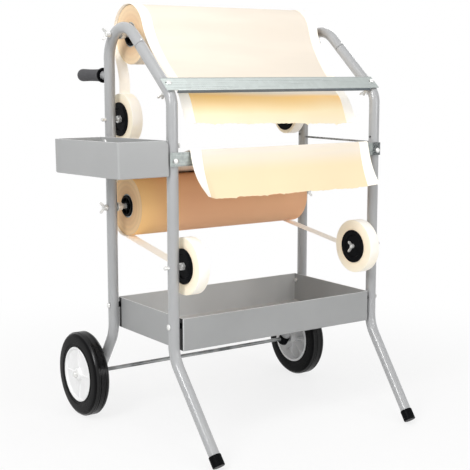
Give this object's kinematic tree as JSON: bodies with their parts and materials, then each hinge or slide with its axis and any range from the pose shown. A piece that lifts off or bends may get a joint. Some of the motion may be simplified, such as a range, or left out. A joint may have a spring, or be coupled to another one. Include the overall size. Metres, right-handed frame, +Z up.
{
  "type": "masking paper dispenser",
  "caption": "Wheeled tube-frame stand that holds wide paper rolls with edge tape rolls, cutter bars and two shallow trays.",
  "frame": {"origin": "floor level, under the centre of the bounding box", "axes": "+X along the rolls to the right as seen from the front, +Y from the cutter bars to the wheels, +Z up"},
  "size_m": [0.9572, 0.7652, 1.2073],
  "materials": {
    "frame_paint": "satin grey paint",
    "tray_paint": "satin grey paint",
    "zinc": "pale zinc plate",
    "steel": "bright zinc plate",
    "black_plastic": "moulded black",
    "grip_rubber": "matt dark grey",
    "tyre": "matt black",
    "rim_plastic": "moulded white",
    "cream_paper": "matt cream paper",
    "kraft_paper": "matt brown paper",
    "core_board": "blue-green board",
    "tape_paper": "crepe paper tape"
  },
  "bodies": {
    "frame": {"front_leg_left": "frame_paint", "rear_hoop_left": "frame_paint", "foot_cap_left": "black_plastic", "axle_cap_left": "black_plastic", "handle_grip_left": "grip_rubber", "axle_nut_left": "zinc", "upper_bar_bolt_left": "steel", "lower_bar_bolt_left": "steel", "side_rod_left": "steel", "front_leg_right": "frame_paint", "rear_hoop_right": "frame_paint", "foot_cap_right": "black_plastic", "axle_cap_right": "black_plastic", "handle_grip_right": "grip_rubber", "axle_nut_right": "zinc", "upper_bar_bolt_right": "steel", "lower_bar_bolt_right": "steel", "side_rod_right": "steel", "axle": "zinc", "lower_tray": "tray_paint", "side_tray": "tray_paint", "upper_cutter_bar": "zinc", "lower_cutter_bar": "zinc", "paper_sheet_upper": "cream_paper", "roll_spindle_upper_left": "steel", "tape_spindle_upper_left": "steel", "tape_strip_upper_left": "tape_paper", "roll_spindle_upper_right": "steel", "tape_spindle_upper_right": "steel", "tape_strip_upper_right": "tape_paper", "paper_sheet_lower": "cream_paper", "roll_spindle_lower_left": "steel", "tape_spindle_lower_left": "steel", "tape_strip_lower_left": "tape_paper", "roll_spindle_lower_right": "steel", "tape_spindle_lower_right": "steel", "tape_strip_lower_right": "tape_paper"},
    "left_wheel": {"wheel_tyre_left": "tyre", "wheel_rim_left": "rim_plastic"},
    "right_wheel": {"wheel_tyre_right": "tyre", "wheel_rim_right": "rim_plastic"},
    "upper_paper": {"paper_roll_upper": "cream_paper", "paper_core_upper": "core_board", "roll_plug_upper_left": "black_plastic", "roll_plug_upper_right": "black_plastic"},
    "lower_paper": {"paper_roll_lower": "kraft_paper", "paper_core_lower": "core_board", "roll_plug_lower_left": "black_plastic", "roll_plug_lower_right": "black_plastic"},
    "upper_left_tape": {"tape_roll_upper_left": "tape_paper", "tape_hub_upper_left": "black_plastic"},
    "upper_right_tape": {"tape_roll_upper_right": "tape_paper", "tape_hub_upper_right": "black_plastic"},
    "lower_left_tape": {"tape_roll_lower_left": "tape_paper", "tape_hub_lower_left": "black_plastic"},
    "lower_right_tape": {"tape_roll_lower_right": "tape_paper", "tape_hub_lower_right": "black_plastic"}
  },
  "joints": [
    {"name": "left_wheel_spin", "type": "hinge", "parent": "frame", "child": "left_wheel", "pos_m": [-0.3681, 0.25701, 0.1256], "axis": [1, 0, 0], "continuous": true},
    {"name": "right_wheel_spin", "type": "hinge", "parent": "frame", "child": "right_wheel", "pos_m": [0.4465, 0.25701, 0.1256], "axis": [1, 0, 0], "continuous": true},
    {"name": "upper_paper_spin", "type": "hinge", "parent": "frame", "child": "upper_paper", "pos_m": [0.0392, 0.12826, 1.12169], "axis": [1, 0, 0], "continuous": true},
    {"name": "lower_paper_spin", "type": "hinge", "parent": "frame", "child": "lower_paper", "pos_m": [0.0392, 0.16251, 0.633], "axis": [1, 0, 0], "continuous": true},
    {"name": "upper_left_tape_spin", "type": "hinge", "parent": "frame", "child": "upper_left_tape", "pos_m": [-0.2628, 0.16251, 0.884], "axis": [1, 0, 0], "continuous": true},
    {"name": "upper_right_tape_spin", "type": "hinge", "parent": "frame", "child": "upper_right_tape", "pos_m": [0.3322, 0.16251, 0.884], "axis": [1, 0, 0], "continuous": true},
    {"name": "lower_left_tape_spin", "type": "hinge", "parent": "frame", "child": "lower_left_tape", "pos_m": [-0.2628, -0.17349, 0.506], "axis": [1, 0, 0], "continuous": true},
    {"name": "lower_right_tape_spin", "type": "hinge", "parent": "frame", "child": "lower_right_tape", "pos_m": [0.3322, -0.17349, 0.506], "axis": [1, 0, 0], "continuous": true}
  ],
  "couplings": [
    {"joint": "upper_left_tape_spin", "follows": "upper_paper_spin", "ratio": 1.137},
    {"joint": "upper_right_tape_spin", "follows": "upper_paper_spin", "ratio": 1.4068},
    {"joint": "lower_left_tape_spin", "follows": "lower_paper_spin", "ratio": 1.109},
    {"joint": "lower_right_tape_spin", "follows": "lower_paper_spin", "ratio": 1.109}
  ]
}
